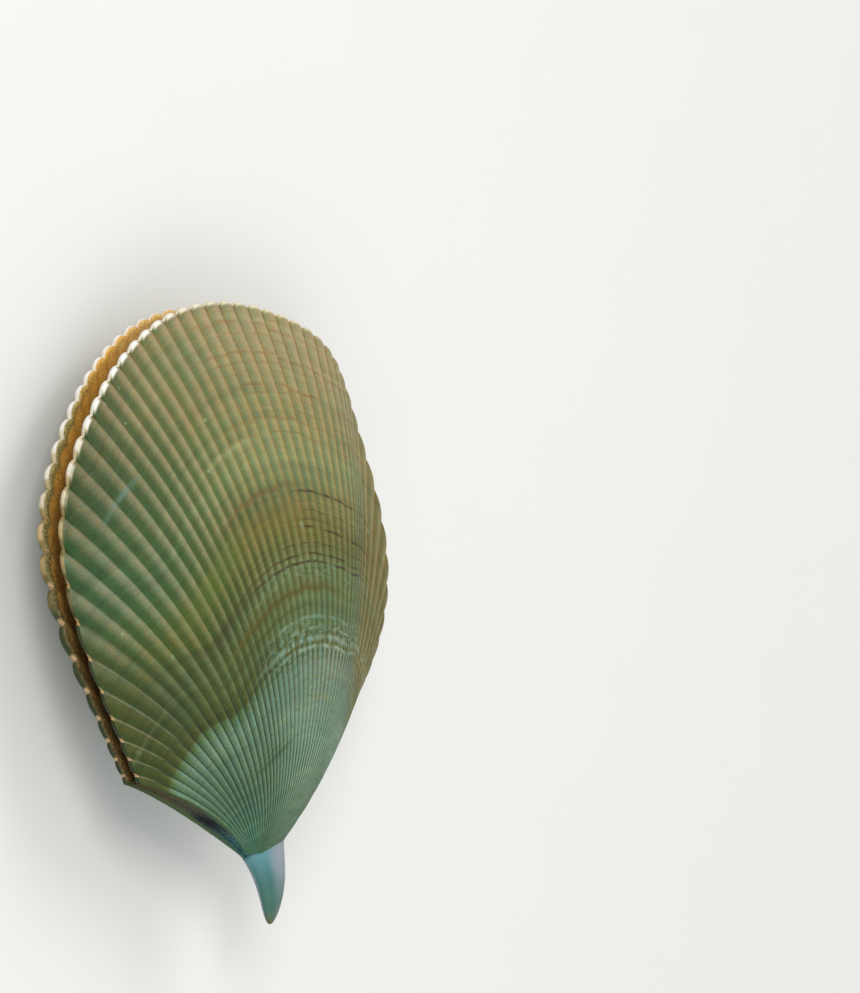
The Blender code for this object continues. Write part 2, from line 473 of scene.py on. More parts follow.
class ValveCoat(Coat):
    """A coat for a valve: it knows where on the valve a place lies.

    Growth lines run level over the middle of the valve and bend up towards the hinge. Age
    follows them: it is 0 at the throat and 1 at the middle of the margin.
    """

    def __init__(self, name: str) -> None:
        """Read the stored coordinates and work out the rib, the place on it and the age."""
        super().__init__(name)
        self.growth, self.across = map(self.net.attribute, ("growth", "across"))
        count = (self.across + 1.0) * (RIBS / 2.0) - 0.5
        self.rib = count.math("FLOOR")
        self.phase = count - self.rib
        left = self.across.fit(-1.0, -0.5, 1.0, 0.0, smooth=False)
        right = self.across.fit(0.25, 1.0, smooth=False)
        bend = 1.0 + 1.6 * (left ** 2.0 + right ** 2.0) - 0.38 * left ** 6.0
        self.age = self.growth / bend

    @cached_property
    def ragged(self) -> Wire:
        """The age, shaken a little along the growth lines and from rib to rib."""
        noise = self.net.node("ShaderNodeTexWhiteNoise", {
            "Vector": self.net.combine(self.rib, 1.0, 0.0)}, noise_dimensions="2D")
        jitter = Wire(self.net, noise.outputs["Value"]) - 0.5
        return self.age + (self.streaks(0.16, 0.3, 3.0) - 0.5) * 0.014 + jitter * 0.006

    @cached_property
    def rise(self) -> Wire:
        """How far a place is out of the rib's trough onto its raised side, the share of painted
        light over painted shade; the trough lies to the rib's left.
        """
        start = self.across.fit(-0.5, -0.1, 0.24, 0.12)
        return (self.phase - start).fit(0.0, 0.62) * self.phase.fit(0.86, 1.0, 1.0, 0.0)

    def streaks(self, along: float, over: float, seed: float) -> Wire:
        """Noise drawn out along the growth lines.

        Args:
            along: Length of a streak, as a part of the way across.
            over: Width of a streak, as a part of the growth.
            seed: Shift that sets one noise apart from another.

        Returns:
            The noise, 0 to 1.
        """
        where = self.net.combine(self.across * (1.0 / along), self.age * (1.0 / over), seed)
        return self.net.grain(1.0, 3.0, 0.55, where, seed)

    def lip_color(self) -> bpy.types.NodeSocket:
        """Colour of the lip: white by the crown, tan on the flank, dotted olive by the corner."""
        net, across = self.net, self.across
        down = across.fit(-0.85, -0.45, smooth=False)
        away = (self.phase - 0.5).math("ABSOLUTE")
        tip = net.ramp(down, (
            (0.0, 0x28361A), (0.28, 0x3A4220), (0.5, 0xC8AC7E),
            (0.7, 0xF8EEE2), (1.0, 0xFFFCFA)))
        side = net.ramp(down, (
            (0.0, 0x28361A), (0.28, 0x323E20), (0.55, 0x968256),
            (0.8, 0xDAC8AC), (1.0, 0xFAF2E8)))
        color = net.blend(away.fit(0.16, 0.32, 1.0, 0.0), side, tip)
        dots = away.fit(0.36, 0.46) * across.fit(-0.62, -0.72)
        for amount, above in ((dots * 0.9, 0xD6B28C),
                              (across.fit(-0.28, 0.0) * 0.6, 0xD6CCB2),
                              (across.fit(0.2, 0.4) * 0.85, 0x70683A)):
            color = net.blend(amount, color, above)
        return color


@dataclass(frozen=True)
class RibColors:
    """Colours along the growth of one flank of the valve: in a rib's trough and on its raised
    side, partly the rib's own colour and partly painted shade in the trough and painted light on
    the raised side.
    """

    hollow: Stops
    rise: Stops


# A helper program fitted the colours of both flanks to the photograph
# Per flank, one ramp for the rib troughs, darker as painted shade, and one for the raised sides,
# lighter as painted light, over the ribs' own colour
LEFT_FLANK = RibColors(
    hollow=((0.00, 0x356A53), (0.08, 0x3F6F61), (0.20, 0x436252),
            (0.34, 0x53725D), (0.366, 0x43602D), (0.376, 0x374112),
            (0.42, 0x354313), (0.50, 0x344517), (0.56, 0x3C5017),
            (0.63, 0x365227), (0.72, 0x2E5431), (1.00, 0x1D3C1B)),
    rise=((0.00, 0x527C63), (0.08, 0x5D897B), (0.20, 0x5E7F6A),
          (0.34, 0x718E85), (0.366, 0x657F6A), (0.376, 0x53592F),
          (0.42, 0x505F39), (0.50, 0x626E53), (0.56, 0x747750),
          (0.63, 0x777E67), (0.72, 0x75806F), (1.00, 0x636448)),
)
RIGHT_FLANK = RibColors(
    hollow=((0.00, 0x506D61), (0.08, 0x5F7565), (0.20, 0x6F887B),
            (0.34, 0x667569), (0.366, 0x546041), (0.378, 0x485127),
            (0.42, 0x546442), (0.50, 0x545F33), (0.56, 0x565626),
            (0.63, 0x555E2D), (0.70, 0x677745), (0.80, 0x636C37),
            (1.00, 0x767C4E)),
    rise=((0.00, 0x6A8470), (0.08, 0x84A38E), (0.20, 0x85A79B),
          (0.34, 0x7A968F), (0.366, 0x7C948B), (0.378, 0x5C6842),
          (0.42, 0x6C7E62), (0.50, 0x758463), (0.56, 0x767646),
          (0.63, 0x868357), (0.70, 0x9E996D), (0.80, 0x9D9269),
          (1.00, 0xAE9E85)),
)


@dataclass(frozen=True)
class GrowthBand:
    """A band of colour along the growth lines, between two places across the valve."""

    age: float
    width: float
    color: int
    strength: float
    start: float = -2.0
    end: float = 2.0
    fade: float = 0.12

    def hump(self, coat: ValveCoat) -> Wire:
        """How much of the band shows at a place."""
        ends = coat.across.fit(self.start - self.fade, self.start + self.fade)
        ends = ends * coat.across.fit(self.end - self.fade, self.end + self.fade, 1.0, 0.0)
        return coat.ragged.bump(self.age, self.width) * ends * self.strength


OLD_BANDS = tuple(GrowthBand(*row) for row in (
    (0.469, 0.009, 0x5E5218, 0.68, -0.50, 0.16), (0.520, 0.024, 0x3A321A, 0.45, -0.62, -0.30),
    (0.474, 0.022, 0x5C5220, 0.30, -0.50, 0.20), (0.735, 0.012, 0xA8B48C, 0.30, -0.26, -0.08),
    (0.223, 0.010, 0x3E5434, 0.60, -0.62, -0.20), (0.236, 0.006, 0x3E5434, 0.40, -0.55, -0.25),
    (0.285, 0.006, 0x70764A, 0.45, -0.10, 0.20), (0.320, 0.005, 0x70764A, 0.40, -0.10, 0.25),
    (0.350, 0.006, 0x606C48, 0.40, -0.30, 0.10), (0.400, 0.014, 0x42481C, 0.45, -0.72, -0.30),
    (0.362, 0.003, 0x485432, 0.60, -0.55, -0.02), (0.472, 0.006, 0x888C74, 0.13, -1.10, -0.74),
    (0.442, 0.006, 0x4C4E22, 0.55, -0.66, 0.00), (0.455, 0.050, 0x3C461A, 0.26, -0.46, -0.12),
    (0.492, 0.005, 0x545830, 0.40, -0.50, 0.40), (0.600, 0.036, 0x7E6428, 0.30, -0.28, 0.08),
    (0.625, 0.075, 0x424C1E, 0.24, -0.40, -0.12), (0.600, 0.050, 0x5C701E, 0.35, -0.58, -0.30),
    (0.645, 0.010, 0x684E2A, 0.55, -0.30, 0.02),
))
YOUNG_BANDS = tuple(GrowthBand(*row) for row in (
    (0.742, 0.004, 0x84683E, 0.50), (0.767, 0.005, 0x805A34, 0.50),
    (0.790, 0.003, 0x84683E, 0.50), (0.815, 0.004, 0x8E643E, 0.50),
    (0.832, 0.005, 0x845836, 0.55), (0.858, 0.003, 0x8E6C44, 0.45),
    (0.876, 0.003, 0x926842, 0.45), (0.896, 0.005, 0x885A38, 0.55),
    (0.915, 0.003, 0x8E6E48, 0.40), (0.934, 0.004, 0x946C48, 0.45),
    (0.956, 0.005, 0x946644, 0.50), (0.974, 0.003, 0x967450, 0.40),
))


class ShellSkin(ValveCoat):
    """The ribbed outer face: aqua near the throat, olive bands, green to tan near the margin."""

    def build(self) -> bpy.types.Material:
        """Make the material."""
        for layer in (self.add_ribs, self.add_corner, self.add_bands, self.add_cracks,
                      self.add_grooves, self.add_flecks, self.add_lip, self.add_clouds):
            layer()
        grain = self.net.grain
        polish = grain(2.5 * MM, 3.0, 0.6)
        relief = self.streaks(1.2, 0.012, 8.0) + grain(0.3 * MM, 2.0, 0.6) * 0.35
        return self.finish(polish, (0.46, 0.60), 0.3, relief, 0.04 * MM)

    def add_ribs(self) -> None:
        """Colour the ribs along the growth, each dark in its trough and light on its raised side:
        partly the rib's own colour, partly painted shade and painted light.
        """
        net, across, age = self.net, self.across, self.ragged
        righter = across.fit(-0.8, 0.1)
        hollow, rise = (
            net.blend(righter, net.ramp(age, left), net.ramp(age, right))
            for left, right in ((LEFT_FLANK.hollow, RIGHT_FLANK.hollow),
                                (LEFT_FLANK.rise, RIGHT_FLANK.rise)))
        self.color = hollow
        belly = across.bump(-0.22, 0.2) * age.bump(0.60, 0.14)
        self.lay(across.bump(-0.45, 0.22) * 0.35 + belly * 0.5, 0x304422)
        self.lay(across.fit(-0.3, 0.0) * age.fit(0.55, 0.70) * 0.3, 0x7A8E88)
        # Painted light: the lighter colour laid on where each rib rises out of its painted-shade
        # trough
        self.lay(self.rise, rise)

    def add_corner(self) -> None:
        """Turn the ribs olive by the left corner, brown on the far flank, cream at the crown."""
        across, growth = self.across, self.growth
        near = across.fit(-0.66, -0.86) * self.age.fit(0.38, 0.42)
        # Painted shade and light: the olive here and the brown below are darker in each rib's
        # trough and lighter on its raised side
        olive = self.net.blend(self.rise, 0x36421A, 0x424C22)
        self.lay(near * 0.9, olive)
        far = across.fit(0.34, 0.62) * growth.fit(0.30, 0.52)
        brown = self.net.blend(self.rise, 0x645E28, 0x867C46)
        self.lay(far * 0.85, brown)
        crown = across.fit(-0.15, 0.08) * growth.fit(0.72, 0.96)
        self.lay(crown * across.fit(0.34, 0.6, 1.0, 0.0) * 0.4, 0xB4A482)

    def add_bands(self) -> None:
        """Lay the ochre, reddish and dark growth bands over the colour."""
        for band in OLD_BANDS:
            self.lay(band.hump(self), band.color)
        reddish = self.streaks(0.07, 0.06, 5.0).fit(0.36, 0.54) * self.across.fit(-0.35, 0.0)
        for band in YOUNG_BANDS:
            self.lay(band.hump(self) * reddish, band.color)

    def add_cracks(self) -> None:
        """Draw the thin dark lines where growth once stopped, each broken in its own way."""
        across = self.across
        middle = across.fit(-0.5, -0.05, 0.25, 1.0) * across.fit(-0.62, -0.4)
        middle = middle * across.fit(0.35, 0.7, 1.0, 0.0)
        right = across.fit(-0.05, 0.05) * across.fit(0.45, 0.7, 1.0, 0.0)
        for place, width, mask, strength in (
                (0.514, 0.0040, middle, 1.0), (0.527, 0.0034, middle, 0.9),
                (0.545, 0.0026, middle, 0.7), (0.572, 0.0038, right, 0.95),
                (0.586, 0.0024, right, 0.5), (0.602, 0.0026, right, 0.6),
                (0.618, 0.0022, right, 0.5), (0.636, 0.0040, right, 0.95)):
            sway = (self.streaks(0.09, 0.4, place * 10.0) - 0.5) * 0.014
            gaps = self.streaks(0.07, 0.3, place * 30.0).fit(0.38, 0.56, 0.15, 1.0)
            crack = (self.age + sway).bump(place, width) * mask * gaps
            self.lay(crack * strength, 0x402214)

    def add_grooves(self) -> None:
        """Draw the dark grooves near the throat and the ochre and pale ones further out."""
        across, growth, age = self.across, self.growth, self.ragged
        nearest = self.phase.math("MINIMUM", 1.0 - self.phase)
        wide = nearest - growth.fit(0.45, 0.15, 0.0, 0.08)
        dark = wide.fit(0.02, 0.15, 1.0, 0.0) * age.fit(0.37, 0.46, 1.0, 0.0)
        strong = across.fit(-0.1, -0.5) + growth.fit(0.26, 0.18)
        dark = dark * growth.fit(0.0, 0.03, 0.5, 1.0) * strong.fit(0.0, 1.0, 0.4, 1.0)
        self.lay(dark * 0.78, 0x1E322A)
        ochre = nearest.fit(0.03, 0.13, 1.0, 0.0) * age.fit(0.5, 0.66)
        self.lay(ochre * across.fit(-0.5, 0.1, 0.0, 0.7), 0x886E36)
        pale = nearest.fit(0.02, 0.10, 1.0, 0.0) * across.fit(-0.66, -0.8)
        self.lay(pale * age.fit(0.38, 0.44) * 0.5, 0x888C78)

    def add_flecks(self) -> None:
        """Scatter the pale flecks and fleck lines, the dark dashes and the long scratch."""
        across, age = self.across, self.ragged
        patches = self.streaks(0.035, 0.008, 12.0).fit(0.46, 0.64)
        zone = (age.bump(0.395, 0.035) + age.bump(0.50, 0.03) * 0.5) * across.fit(-0.55, -0.1)
        self.lay(patches * zone * 0.40, 0x96B4B0)
        lined = across.fit(-0.5, -0.15) * across.fit(0.4, 0.6, 1.0, 0.3)
        for place, width, strength in ((0.371, 0.005, 0.60), (0.386, 0.008, 0.55),
                                       (0.402, 0.004, 0.3), (0.421, 0.005, 0.35)):
            sway = (self.streaks(0.05, 0.4, place * 20.0) - 0.5) * 0.008
            gaps = self.streaks(0.025, 0.3, place * 40.0).fit(0.42, 0.58, 0.1, 1.0)
            line = (self.age + sway).bump(place, width) * lined * gaps
            self.lay(line * strength, 0x9CBAB8)
        dashes = self.streaks(0.06, 0.010, 15.0).fit(0.56, 0.66)
        older = age.fit(0.20, 0.26) * age.fit(0.34, 0.37, 1.0, 0.0)
        self.lay(dashes * older * 0.4, 0x4E6048)
        slant = (self.growth - 0.873) + (across + 0.53) * 0.34
        scratch = slant.bump(0.0, 0.010) * across.bump(-0.53, 0.09)
        scratch = scratch * self.streaks(0.03, 0.3, 17.0).fit(0.36, 0.5)
        self.lay(scratch * 0.6, 0x6A8C8E)
        spots = self.net.grain(1.8 * MM, 1.0, 0.5, seed=4.0).fit(0.72, 0.78)
        self.lay(spots * age.fit(0.4, 0.6) * 0.45, 0x8CA892)

    def add_lip(self) -> None:
        """Bleach the rounded lip: white by the crown, tan below it, olive at the corner."""
        bead = (self.phase - 0.45).math("ABSOLUTE").fit(0.15, 0.42, 1.0, 0.0)
        cap = self.growth.fit(0.986, 0.9925) * bead * self.across.fit(-0.7, -0.45)
        turned = self.net.attribute("turn").fit(0.04, 0.16)
        self.lay(turned.math("MAXIMUM", cap), self.lip_color())

    def add_clouds(self) -> None:
        """Break the colour up with soft clouds, fine growth lines and a fine grain."""
        grain = self.net.grain
        for amount, noise, *stops in (
                (0.45, grain(9.0 * MM, 3.0, 0.6),
                 (0.32, 0x96AC96), (0.68, 0xDECCB0)),
                (0.35, self.streaks(0.45, 0.016, 21.0),
                 (0.32, 0x82887C), (0.68, 0xECE6D6)),
                (0.32, self.streaks(0.012, 0.04, 41.0),
                 (0.36, 0x9ECAB8), (0.64, 0xDEB2A0)),
                (0.6, grain(0.28 * MM, 2.0, 0.7, seed=9.0),
                 (0.38, 0xA8BCDE), (0.62, 0xCEBC8C)),
                (0.35, grain(0.22 * MM, 2.0, 0.7),
                 (0.3, 0x505050), (0.7, 0xEBEBEB))):
            self.shade(amount, noise, *stops)


class AmberLining(ValveCoat):
    """The inside of a valve: pale at the lip, a thin green band, then grainy amber, with painted
    shade that darkens it towards the hinge and towards the left corner.
    """

    def build(self, lip_end: float = 0.9) -> bpy.types.Material:
        """Make the material; the lip's colour ends where the turn round the lip says."""
        net, across, growth = self.net, self.across, self.growth
        # Grainy amber that darkens towards the hinge: painted shade deep inside the valve
        self.color = net.ramp(growth, (
            (0.0, 0x605438), (0.5, 0xA48450), (0.8, 0xDEAC52),
            (1.0, 0xF4BE5A)))
        self.lay(across.fit(-0.34, -0.16) * 0.6, 0xDEBE88)
        green = growth.fit(0.976, 0.990) * across.fit(-0.25, -0.5)
        self.lay(green * 0.85, 0x828A60)
        # Painted shade: dark brown towards the left corner, where less light reaches into the gap
        # between the valves
        self.lay(across.fit(-0.48, -0.8, smooth=False) * 0.9, 0x4C3E24)
        flutes = (self.phase - 0.5).math("ABSOLUTE") * 2.0
        self.lay(flutes.fit(0.3, 1.0) * 0.2, 0x966828)
        grit = net.grain(0.34 * MM, 2.0, 0.7)
        self.shade(0.85, grit, (0.36, 0x463E32), (0.64, 0xFCF6E8))
        lip = net.attribute("turn").fit(lip_end - 0.08, lip_end + 0.08, 1.0, 0.0)
        self.lay(lip, self.lip_color())
        return self.finish(grit, (0.5, 0.66), 0.3, grit, 0.05 * MM)


class LedgeGrain(Coat):
    """The narrow hinge ledge: grainy brown at the corner, grey, then teal at the throat, with a
    painted shadow for the slit between the valves.
    """

    def build(self, edge: float = 0.3) -> bpy.types.Material:
        """Make the material; the green edge ends at that part of the way down the ledge."""
        net = self.net
        growth, depth = net.attribute("growth"), net.attribute("ledge")
        self.color = net.ramp(growth, (
            (0.0, 0x3C706C), (0.20, 0x3E6868), (0.36, 0x3E5052),
            (0.52, 0x4E524C), (0.70, 0x56543E), (1.0, 0x4E462A)))
        grit = net.grain(0.34 * MM, 2.0, 0.7)
        self.shade(0.8, grit, (0.38, 0x0E0E0E), (0.62, 0xFFFCFA))
        self.lay(depth.fit(edge - 0.1, edge + 0.1, 1.0, 0.0), net.ramp(growth, (
            (0.0, 0x567A62), (0.5, 0x566C46), (1.0, 0x4A5832))))
        # Painted shadow: a near-black slit between the valves along the inner part of the ledge,
        # about halfway up, broken by grain
        painted_slit_shadow = depth.fit(0.3, 0.6) * growth.bump(0.43, 0.15)
        painted_slit_shadow = painted_slit_shadow * net.grain(1.2 * MM, 2.0, 0.6).fit(0.25, 0.45)
        self.lay(painted_slit_shadow * 0.9, 0x101416)
        return self.finish(grit, (0.7, 0.9), 0.08, grit, 0.07 * MM)


class StalkColorAndPaintedSheen(Coat):
    """The smooth stalk: satin teal below, a pale mauve-grey painted highlight on top, a thin
    painted rim light on the other side, olive at the tip.
    """

    HALF_SIZE: ClassVar[float] = 3.5 * MM
    LEAN: ClassVar[float] = 0.114

    def build(self, stalk: "Stalk", top: Vector) -> bpy.types.Material:
        """Make the material.

        Args:
            stalk: The stalk, for its length, its taper and its bow.
            top: Middle of the stalk at the throat, in the frame.

        Returns:
            The material.
        """
        net = self.net
        x, y, z = net.place().split()
        share = (top.y - y) * (1.0 / stalk.length)
        self.color = net.ramp(share, (
            (0.0, 0x5E909A), (0.15, 0x54888E), (0.4, 0x42746E),
            (0.8, 0x426C5E), (0.93, 0x566844), (1.0, 0x5C5C2C)))
        inside = share.math("MAXIMUM", 0.0).math("MINIMUM", 0.99)
        girth = (1.0 - inside ** stalk.taper[0]) ** stalk.taper[1] * self.HALF_SIZE
        centre = (inside * math.pi).math("SINE") * stalk.bow + top.x
        height = inside * (self.LEAN * stalk.length) + top.z
        aside = ((x - centre) * 0.62 + (z - height) * 0.79) / girth
        # Painted highlight: pale mauve grey on the side that faces the light, weaker towards the
        # tip
        painted_highlight = aside.fit(0.0, 0.8) * share.fit(0.10, 0.65, 1.0, 0.25)
        self.lay(painted_highlight * 0.85, 0xA0A4AE)
        # Painted rim light: a pale blue-grey edge on the other side, faint near the root and gone
        # at the tip
        rim = aside.fit(-0.72, -1.0) * share.fit(0.9, 1.0, 1.0, 0.0)
        self.lay(rim * share.fit(0.1, 0.35, 0.2, 0.75), 0xB0BED4)
        cloud = net.grain(3.0 * MM, 3.0, 0.6)
        self.shade(0.3, cloud, (0.3, 0x78807E), (0.7, 0xD4D6D2))
        self.shade(0.18, net.grain(0.2 * MM, 2.0, 0.7),
                   (0.3, 0x5A5A5A), (0.7, 0xEBEBEB))
        relief = net.grain(0.5 * MM, 2.0, 0.6)
        return self.finish(cloud, (0.38, 0.5), 0.35, relief, 0.012 * MM)


# --- The valves and the stalk ---


class Side(IntEnum):
    """Which valve: the one on top, or the one that the shell lies on."""

    UPPER = 1
    LOWER = -1


@dataclass
class Valve:
    """One ribbed valve with a rounded lip, a fluted lining and a hinge ledge."""

    WELD: ClassVar[float] = 0.002 * MM
    FOLD: ClassVar[float] = math.radians(58.0)

    name: str
    node: str
    slot: str
    side: Side
    rule: GrowthRule
    skins: tuple[bpy.types.Material, ...]
    ribs: int = RIBS
    rib_height: float = 0.065
    rim_height: float = 0.16
    rib_shape: float = 0.75
    rim_scallop: float = 0.13
    throat_teeth: float = 1.0
    rim_trim: float = 0.0
    far_scallop: float = 0.1
    corner_height: float = 0.3
    flute_share: float = 0.5
    wall_body: float = 1.5 * MM
    wall_margin: float = 1.1 * MM
    wall_throat: float = 0.6 * MM
    wall_full_at: float = 0.3
    ledge_gap: float = 0.3 * MM
    lip_start: float = 0.9925
    swell: float = 0.48 * MM
    columns_per_rib: int = 12
    skin_rows: int = 70
    lip_rows: int = 6
    row_easing: float = 0.55
    probe: float = 0.003
    seed: float = 2.0

    def inputs(self) -> dict[str, float]:
        """Names and values of the node tree's number inputs."""
        return node_inputs(self) | node_inputs(self.rule)

    def tree(self) -> bpy.types.NodeTree:
        """Draw the node tree that grows the valve over a plain grid.

        The grid's rows run up the outer face from the throat, round the lip and back down
        the lining. Its columns run across the ribs, with two more beyond each hinge edge
        for the ledge.
        """
        net = Net.recipe(self.name + "_growth", self.inputs(), "Valve", "Geometry")
        given, rule_tree = net.given, self.rule.group()
        sizes = {key: given(key) for key in ("Margin", *node_inputs(self.rule))}

        def skin_point(growth: Wire, across: Wire) -> Arrow:
            """Point of the smooth skin."""
            node = net.node("GeometryNodeGroup", {"Growth": growth, "Across": across, **sizes},
                            node_tree=rule_tree)
            return Arrow(net, node.outputs["Point"])

        ribs, per_rib = given("Ribs"), given("Columns Per Rib")
        columns = ribs * per_rib + 5.0
        rows = given("Skin Rows") * 2.0 + given("Lip Rows") + 1.0
        grid = net.node("GeometryNodeMeshGrid", {
            "Size X": columns - 1.0, "Size Y": rows - 1.0, "Vertices X": columns,
            "Vertices Y": rows})
        spot = Arrow(net, net.node("GeometryNodeInputPosition").outputs[0])
        place_x, place_y, _ = spot.split()
        column = (place_x + (columns - 1.0) * 0.5).math("ROUND")
        row = (place_y + (rows - 1.0) * 0.5).math("ROUND")

        # Columns: from the middle of the half rib at one hinge edge to that at the other
        inner_column = column.math("MAXIMUM", 2.0).math("MINIMUM", columns - 3.0)
        count = inner_column - 2.0 + per_rib * 0.5
        rib = (count / per_rib).math("FLOOR")
        phase = 0.5 - ((count / per_rib - rib) * math.pi).math("COSINE") * 0.5
        across = (rib - 0.5 + phase) * 2.0 / ribs - 1.0
        beyond = (column - inner_column).math("ABSOLUTE")

        # Rows: up the skin, round the lip, down the lining
        last_skin = given("Skin Rows") - 1.0
        last_lip = last_skin + given("Lip Rows")
        upward = row.math("MINIMUM", last_skin) / last_skin
        turn = (row - last_skin).math("DIVIDE", given("Lip Rows"), clamp=True)
        downward = (row - last_lip).math("MAXIMUM", 0.0) / last_skin
        climb = upward.math("MINIMUM", 1.0 - downward, clamp=True)
        eased = climb + (climb - climb * climb) * given("Row Easing")
        start = given("Rim Trim") * across.fit(-0.3, -1.0, smooth=False) ** 2.0
        growth = start + eased * (given("Lip Start") - start)

        # The smooth skin, its slopes and its outward direction
        step = given("Probe")
        ahead, behind = growth + step, (growth - step).math("MAXIMUM", 0.0)
        along = skin_point(ahead, across) - skin_point(behind, across)
        run = along.length() / (ahead - behind)
        forward = along.unit()
        right, left = (across + step).math("MINIMUM", 1.0), (across - step).math("MAXIMUM", -1.0)
        over = skin_point(growth, right) - skin_point(growth, left)
        pitch = over.length() / (right - left) * 2.0 / ribs
        out = over.math("CROSS_PRODUCT", along).unit()

        # Ribs, the scalloped margin and a faint swell that follows the growth lines
        crest = (phase * math.pi).math("SINE") ** given("Rib Shape")
        calm = 1.0 - across.fit(0.22, 0.42) * (1.0 - given("Far Scallop"))
        reach = given("Rim Scallop") * pitch * crest * growth.fit(0.93, 0.992) * calm
        tooth = given("Throat Teeth") * pitch * crest * growth.fit(0.0, 0.03, 1.0, 0.0)
        scalloped = skin_point(growth + reach / run, across) - forward * tooth
        ripple = net.node("ShaderNodeTexNoise", {
            "Vector": net.combine(across * 3.0, growth * 16.0, given("Seed")), "Scale": 1.0,
            "Detail": 2.0}).outputs["Fac"]
        swell = (Wire(net, ripple).math("MINIMUM", 0.5) - 0.5) * given("Swell")
        taller = (given("Rim Height") - given("Rib Height")) * (growth.fit(0.965, 0.99) * calm)
        corner = across.math("ABSOLUTE").fit(0.70, 0.88)
        height = given("Rib Height") + taller
        height = height * (1.0 - corner * (1.0 - given("Corner Height")))
        lift = height * pitch * crest + swell

        # The wall, and the lip that turns from its outer to its inner face
        full_at = given("Wall Full At")
        full = (growth / full_at).math("MINIMUM", 1.0)
        thin = (growth - full_at).math("MAXIMUM", 0.0) / (1.0 - full_at)
        wall = given("Wall Throat") + (given("Wall Body") - given("Wall Throat")) * full
        wall = wall + (given("Wall Margin") - given("Wall Body")) * thin
        outer = scalloped + out * lift
        inner = scalloped - out * (wall - lift * given("Flute Share"))
        half = (outer - inner) * 0.5
        swing = half * (turn * math.pi).math("COSINE")
        nose = forward * (half.length() * (turn * math.pi).math("SINE"))
        body = (outer + inner) * 0.5 + (swing + nose)

        # Ledge: straight down from the hinge edge, then in under the wall
        edge_x, edge_y, _ = skin_point(growth, across).split()
        along_x, along_y, _ = forward.split()
        side = across.math("SIGN")
        inward = net.combine(side * along_y * -1.0, side * along_x, 0.0).unit()
        depth = turn.math("MAXIMUM", row.math("GREATER_THAN", last_lip - 0.5))
        depth = depth + (0.5 - depth) * beyond.math("GREATER_THAN", 1.5)
        foot = net.combine(edge_x, edge_y, given("Ledge Gap") * 0.5) + inward * (wall * depth)
        on_ledge = beyond.math("GREATER_THAN", 0.5)
        point = body + (foot - body) * on_ledge

        shape = grid.outputs["Mesh"]
        for key, value in (("growth", growth), ("across", across), ("turn", turn),
                           ("ledge", on_ledge)):
            shape = net.node("GeometryNodeStoreNamedAttribute", {
                "Geometry": shape, "Name": key, "Value": value}, data_type="FLOAT",
                domain="POINT").outputs[0]
        mirrored = point.math("MULTIPLY", net.combine(1.0, 1.0, given("Side")))
        shape = net.node("GeometryNodeSetPosition", {
            "Geometry": shape, "Position": mirrored}).outputs[0]
        net.node("NodeGroupOutput", {"Valve": self.dress(net, shape)})
        return net.tree

    def dress(self, net: Net, shape: bpy.types.NodeSocket) -> bpy.types.NodeSocket:
        """Give the three layers their materials.

        Args:
            net: Pen of the tree.
            shape: Geometry so far.

        Returns:
            The finished geometry.
        """
        for kind in ("GeometryNodeRealizeInstances", "GeometryNodeSetShadeSmooth"):
            shape = net.node(kind, {"Geometry": shape}).outputs[0]
        tests = {Layer.SKIN: None, Layer.LINING: ("turn", 0.5), Layer.LEDGE: ("ledge", 0.01)}
        for layer, test in tests.items():
            node = net.node("GeometryNodeSetMaterial", {"Geometry": shape,
                                                        "Material": self.skins[layer]})
            if test:
                stored = net.node("GeometryNodeInputNamedAttribute", {"Name": test[0]},
                                  data_type="FLOAT")
                chosen = Wire(net, stored.outputs[0]).math("GREATER_THAN", test[1])
                net.feed(node.inputs["Selection"], chosen)
            shape = node.outputs[0]
        return shape

    def build(self) -> bpy.types.Object:
        """Grow the valve, in the shell's own frame, and turn it into a plain mesh."""
        tree = self.tree()
        seedling = add_object(self.name + "_margin", self.rule.outline())
        modifier = seedling.modifiers.new("growth", "NODES")
        modifier.node_group = tree
        values = self.inputs()
        for item in tree.interface.items_tree:
            if item.in_out == "INPUT" and item.name in values:
                modifier[item.identifier] = values[item.name]
        seedling.update_tag()
        graph = bpy.context.evaluated_depsgraph_get()
        mesh = bpy.data.meshes.new_from_object(seedling.evaluated_get(graph),
                                               preserve_all_data_layers=True,
                                               depsgraph=graph)
        seedling.modifiers.clear()
        bpy.data.objects.remove(seedling)
        self.close(mesh)
        return add_object(self.name, mesh)

    def close(self, mesh: bpy.types.Mesh) -> None:
        """Join the grid's open ends, turn its faces outwards and keep the folds crisp."""
        bm = bmesh.new()
        bm.from_mesh(mesh)
        bmesh.ops.remove_doubles(bm, verts=bm.verts, dist=self.WELD)
        rim = [edge for edge in bm.edges if edge.is_boundary]
        log.info("%s: closed %d open edges", self.name, len(rim))
        bmesh.ops.bridge_loops(bm, edges=rim)
        bmesh.ops.recalc_face_normals(bm, faces=bm.faces)
        bm.to_mesh(mesh)
        bm.free()
        mesh.set_sharp_from_angle(angle=self.FOLD)


